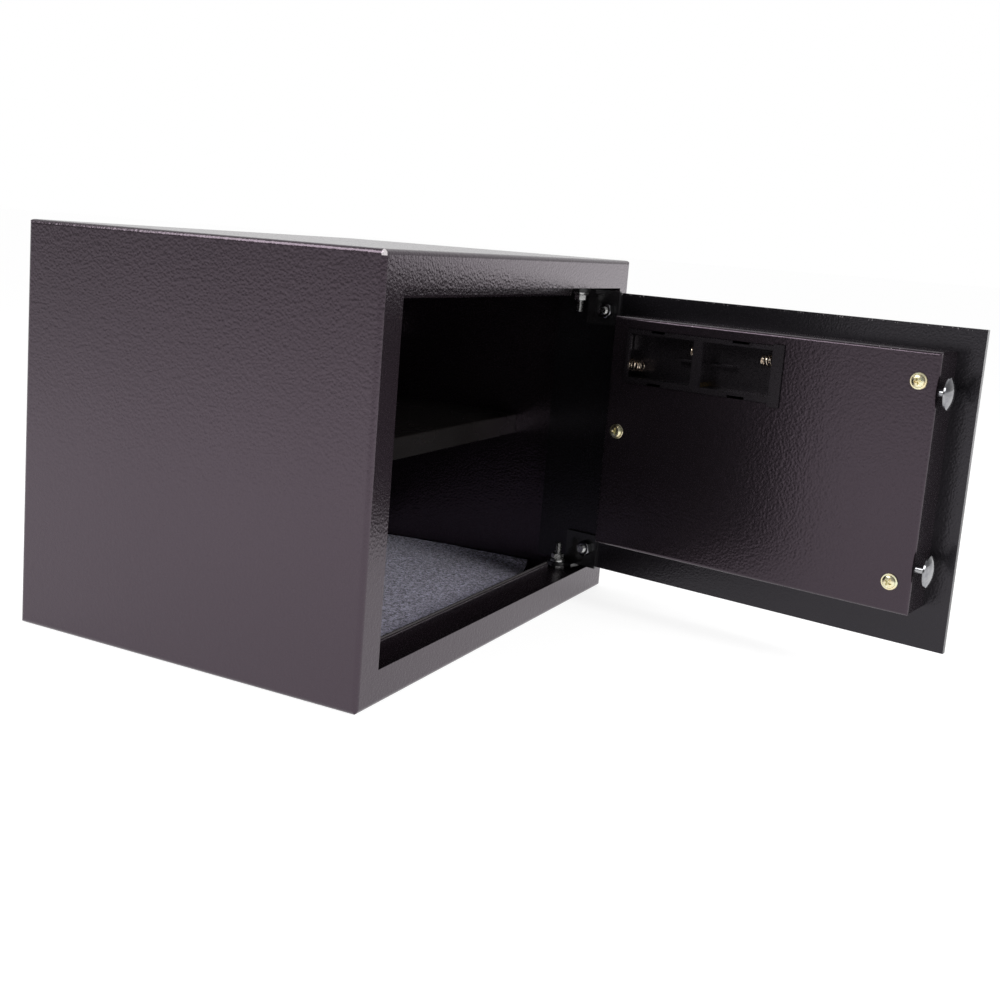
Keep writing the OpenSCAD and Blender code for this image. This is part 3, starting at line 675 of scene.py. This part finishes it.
def pivot_pieces():
    """Threaded pivot bolts with washers and flanged nuts."""
    head = 3.5 * MM
    head_r = 4.5 * MM
    bm = bmesh.new()
    for place, low, high in pivot_places("pivot_bolts"):
        length = high.z - low.z
        lathe(bm, [(0, 0), (0.8 * head_r, 0), (head_r, 0.9 * MM), (head_r, head), (0, head)], place, 6)
        thread(bm, 5 * MM, 0.8 * MM, head, length, place)
    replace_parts(add_piece("pivot_threads", bm, "cabinet", "zinc_steel"), "pivot_bolts")
    bm = bmesh.new()
    for place, low, high in pivot_places("pivot_washers"):
        washer(bm, (high.x - low.x) / 2, 2.6 * MM, high.z - low.z, place)
    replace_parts(add_piece("pivot_flat_washers", bm, "cabinet", "zinc_steel"), "pivot_washers")
    bm = bmesh.new()
    for place, low, high in pivot_places("pivot_nuts"):
        hex_nut(bm, 8 * MM, high.z - low.z, 2.3 * MM, place @ Matrix.Rotation(0.35, 4, "Z"), 5.2 * MM)
    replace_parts(add_piece("pivot_flange_nuts", bm, "cabinet", "zinc_steel"), "pivot_nuts")


def bracket_pieces():
    """Studs and hexagon nuts that hold the hinge brackets."""
    bm = bmesh.new()
    for solid in islands("bracket_studs"):
        low, high = shut_corners(solid)
        place = Matrix.Translation((middle(low, high).x, low.y, middle(low, high).z)) @ ALONG_Y
        thread(bm, 6 * MM, 1.0 * MM, 0, high.y - low.y, place)
    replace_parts(add_piece("stud_threads", bm, "door", "zinc_steel", DOOR), "bracket_studs")
    bm = bmesh.new()
    for solid in islands("bracket_nuts"):
        low, high = shut_corners(solid)
        place = Matrix.Translation((middle(low, high).x, low.y, middle(low, high).z)) @ ALONG_Y
        hex_nut(bm, 10 * MM, high.y - low.y, 2.7 * MM, place @ Matrix.Rotation(0.2, 4, "Z"))
    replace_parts(add_piece("bracket_hex_nuts", bm, "door", "chrome", DOOR), "bracket_nuts")


# ---- Cover screws -----------------------------------------------------------------------------


def cross_depth(x, y):
    """Depth of the cross recess at a point of the head, 0 outside it."""
    depth = 1.3 * MM
    arm = 2.3 * MM
    half_width = 0.62 * MM
    slope = 0.35 * MM
    along_x = min((arm - abs(x)) / (2 * slope), (half_width - abs(y)) / slope)
    along_y = min((arm - abs(y)) / (2 * slope), (half_width - abs(x)) / slope)
    return depth * min(1.0, max(0.0, along_x, along_y))


def screw_pieces():
    """Pan-head screws with a washer face and a cross recess."""
    bm = bmesh.new()
    steps = 96
    count = 26
    shank_r = 1.9 * MM
    under = cover_face()
    for n, solid in enumerate(islands("cover_screws")):
        low, high = shut_corners(solid)
        radius = (high.z - low.z) / 2
        head_r = 0.78 * radius
        top = high.y - under
        turn = Matrix.Rotation(0.35 + 0.6 * n, 4, "Z")
        place = Matrix.Translation((middle(low, high).x, under, middle(low, high).z)) @ ALONG_Y @ turn
        rim = [(radius - 0.1 * MM, 0.0), (radius, 0.15 * MM), (radius, 0.6 * MM)]
        rim += [(radius - 0.25 * MM, 0.9 * MM), (head_r + 0.15 * MM, 0.95 * MM), (head_r, 1.1 * MM)]
        rings = [[bm.verts.new(place @ Vector((0, 0, 0)))]]
        for r, z in rim:
            rings.append([bm.verts.new(place @ Vector((r * c, r * s, z))) for c, s in circle(steps)])
        for i in range(count):
            r = head_r * math.sin(math.pi / 2 * (1 - (i + 1) / (count + 1)))
            dome = 1.1 * MM + (top - 1.1 * MM) * math.sqrt(1 - (r / head_r) ** 2) ** 0.7
            ring = []
            for c, s in circle(steps):
                z = dome - cross_depth(r * c, r * s)
                ring.append(bm.verts.new(place @ Vector((r * c, r * s, z))))
            rings.append(ring)
        rings.append([bm.verts.new(place @ Vector((0, 0, top - 1.3 * MM)))])
        join_rings(bm, rings)
        lathe(bm, [(0, low.y - under), (shank_r, low.y - under), (shank_r, 0), (0, 0)], place, 24)
    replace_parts(add_piece("cross_screws", bm, "door", "yellow_zinc", DOOR), "cover_screws")


def circle(steps):
    return [(math.cos(2 * math.pi * i / steps), math.sin(2 * math.pi * i / steps)) for i in range(steps)]


def cover_face():
    """The cover's back face, as a y with the door shut."""
    return shut_box("door_cover")[1].y


# ---- Battery contacts -------------------------------------------------------------------------


def spring_pieces():
    """Coiled contact springs, wide at the contact plate and narrow at the cell."""
    bm = bmesh.new()
    wire = 0.42 * MM
    pitch = 2.6 * MM
    steps = 28
    for solid in islands("battery_springs"):
        shut = [SHUT @ p for p in solid]
        low, high = shut_corners(solid)
        centre = middle(low, high)
        low_r = max((p - Vector((p.x, centre.y, centre.z))).length for p in shut if p.x < centre.x)
        high_r = max((p - Vector((p.x, centre.y, centre.z))).length for p in shut if p.x > centre.x)
        wide, narrow = max(low_r, high_r) - wire, min(low_r, high_r) - wire
        foot, way = (low.x, 1) if low_r > high_r else (high.x, -1)
        length = high.x - low.x - 2 * wire
        turns = 1.6 + length / pitch
        path = []
        for i in range(round(turns * steps) + 1):
            share = i / (turns * steps)
            climb = min(1.0, max(0.0, (share * turns - 0.8) / (turns - 1.6)))
            radius = wide + (narrow - wide) * climb
            a = 2 * math.pi * turns * share
            x = foot + way * (wire + length * climb)
            path.append(Vector((x, centre.y + radius * math.cos(a), centre.z + radius * math.sin(a))))
        tube(bm, path, wire)
    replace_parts(add_piece("spring_coils", bm, "door", "contact_spring", DOOR), "battery_springs")


def strip_piece():
    """Folded brass strip along the foot of the bay's far wall, over the lowest solid of the CAD plates."""
    boxes = [shut_corners(solid) for solid in islands("battery_plates")]
    low, high = min(boxes, key=lambda box: box[1].z - box[0].z)
    bm = bmesh.new()
    skin = 0.05 * MM
    toe = low.x - 2 * MM
    outline = [
        (toe, low.z), (high.x, low.z), (high.x, high.z + skin),
        (low.x - skin, high.z + skin), (toe, low.z + 0.5 * MM),
    ]
    ends = []
    for y in (low.y + skin, high.y + 4 * MM):
        ends.append([bm.verts.new((x, y, z)) for x, z in outline])
    join_rings(bm, ends)
    bm.faces.new(ends[0])
    bm.faces.new(ends[1])
    add_piece("contact_strip", bm, "door", "brass", DOOR, smooth=False)


# ---- Felt mat ---------------------------------------------------------------------------------


def mat_piece():
    """Needle-felt mat cut a little smaller than the floor, its front edge askew, which draws its right corner
    back from the lip. It ripples, and its right edge rides up the wall."""
    low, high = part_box("floor_mat")
    holes = [middle(*corners(loop)) for loop in mat_holes(low, high)]
    hole_r = 8 * MM
    cut_back = 56 * MM
    skew_power = 1.3
    skew_depth = 115 * MM
    wall_strip = 26 * MM
    wall_lift = 3.2 * MM
    ripple = 0.55 * MM
    step = 2.5 * MM
    nx = round((high.x - low.x) / step)
    ny = round((high.y - low.y) / step)
    bm = bmesh.new()
    top = {}
    for i in range(nx + 1):
        for j in range(ny + 1):
            x = low.x + (high.x - low.x) * i / nx
            y = low.y + (high.y - low.y) * j / ny
            top[i, j] = bm.verts.new((x, y, high.z))
    for i in range(nx):
        for j in range(ny):
            centre = Vector((low.x + (i + 0.5) * step, low.y + (j + 0.5) * step))
            if min((centre - h.xy).length for h in holes) > hole_r:
                bm.faces.new([top[i, j], top[i + 1, j], top[i + 1, j + 1], top[i, j + 1]])
    for v in [v for v in bm.verts if not v.link_faces]:
        bm.verts.remove(v)
    for v in bm.verts:
        near = min(holes, key=lambda h: (v.co.xy - h.xy).length)
        gap = v.co.xy - near.xy
        if v.is_boundary and gap.length < hole_r + 2 * step:
            v.co.xy = near.xy + gap.normalized() * hole_r
    sheet_top = list(bm.faces)
    made = bmesh.ops.extrude_face_region(bm, geom=sheet_top)
    under = {v for v in made["geom"] if isinstance(v, bmesh.types.BMVert)}
    depth = high.z - low.z
    for v in bm.verts:
        p = v.co
        skew = ((p.x - low.x) / (high.x - low.x)) ** skew_power
        p.y += cut_back * skew * max(0.0, 1 - (p.y - low.y) / skew_depth)
        wave = noise.noise(Vector((p.x * 14, p.y * 14, 3.1))) * 0.7
        wave += noise.noise(Vector((p.x * 45, p.y * 45, 7.7))) * 0.3
        side = max(0.0, 1 - (high.x - p.x) / wall_strip)
        along = (p.y - low.y) / (high.y - low.y)
        lift = wall_lift * side * side * math.sin(math.pi * min(1.0, 0.15 + along)) * (1 + 0.35 * wave)
        if v in under:
            p.z = low.z + 0.1 * MM + max(0.0, lift)
        else:
            p.z = low.z + depth * 0.86 + ripple * wave + max(0.0, lift)
    piece = add_piece("felt_mat", bm, "cabinet", "felt")
    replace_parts(piece, "floor_mat")


def mat_holes(low, high):
    """Rims of the mat's two openings, each as a list of points: what lies inside the mat's own outline."""
    edge = 5 * MM
    inner = [v.co for v in NODES["floor_mat"].data.vertices if low.x + edge < v.co.x < high.x - edge]
    inner = [p for p in inner if low.y + edge < p.y < high.y - edge]
    across = middle(low, high).x
    return [[p for p in inner if p.x < across], [p for p in inner if p.x > across]]


# ---- Keys -------------------------------------------------------------------------------------


def legend_pieces():
    """Raised digits on the keys, and plain signs on the two others."""
    signs = {f"key_{n}": str(n) for n in range(10)}
    signs["key_clear"] = "*"
    signs["key_enter"] = "#"
    for node, sign in signs.items():
        low, high = shut_box(node)
        centre = middle(low, high)
        text = bpy.data.curves.new(node + "_sign", "FONT")
        text.body = sign
        text.size = 8.5 * MM
        text.extrude = 0.08 * MM
        drawn = bpy.data.objects.new(node + "_text", text)
        bpy.context.scene.collection.objects.link(drawn)
        bpy.context.view_layer.update()
        graph = bpy.context.evaluated_depsgraph_get()
        mesh = bpy.data.meshes.new_from_object(drawn.evaluated_get(graph))
        bpy.data.objects.remove(drawn)
        bm = bmesh.new()
        bm.from_mesh(mesh)
        bpy.data.meshes.remove(mesh)
        left, right = corners([v.co.copy() for v in bm.verts])
        shift = -middle(left, right)
        on_key = Matrix.Translation((centre.x, low.y + 0.03 * MM, centre.z))
        upright = Matrix.Rotation(math.pi / 2, 4, "X")
        turn = DOOR @ on_key @ upright @ Matrix.Translation((shift.x, shift.y, 0))
        add_piece(node + "_sign", bm, node + "_cap", "black_plastic", turn, smooth=False)


# ---- Finish -----------------------------------------------------------------------------------


def round_edges():
    """Small bevels on the sheet-metal and moulded nodes, which catch the light as real edges do."""
    widths = {
        "door_plate": 0.5, "shelf": 0.3, "battery_tray": 0.25, "hinge_bracket_lower": 0.5,
        "hinge_bracket_upper": 0.5, "front_frame": 0.5,
    }
    for node, width in widths.items():
        bevel = NODES[node].modifiers.new("edges", "BEVEL")
        bevel.width = width * MM
        bevel.segments = 2
        bevel.limit_method = "ANGLE"
        bevel.angle_limit = math.radians(50)


make_camera()
make_studio()
dress_cad()
round_edges()
bolts_pieces()
pivot_pieces()
bracket_pieces()
screw_pieces()
spring_pieces()
strip_piece()
mat_piece()
legend_pieces()
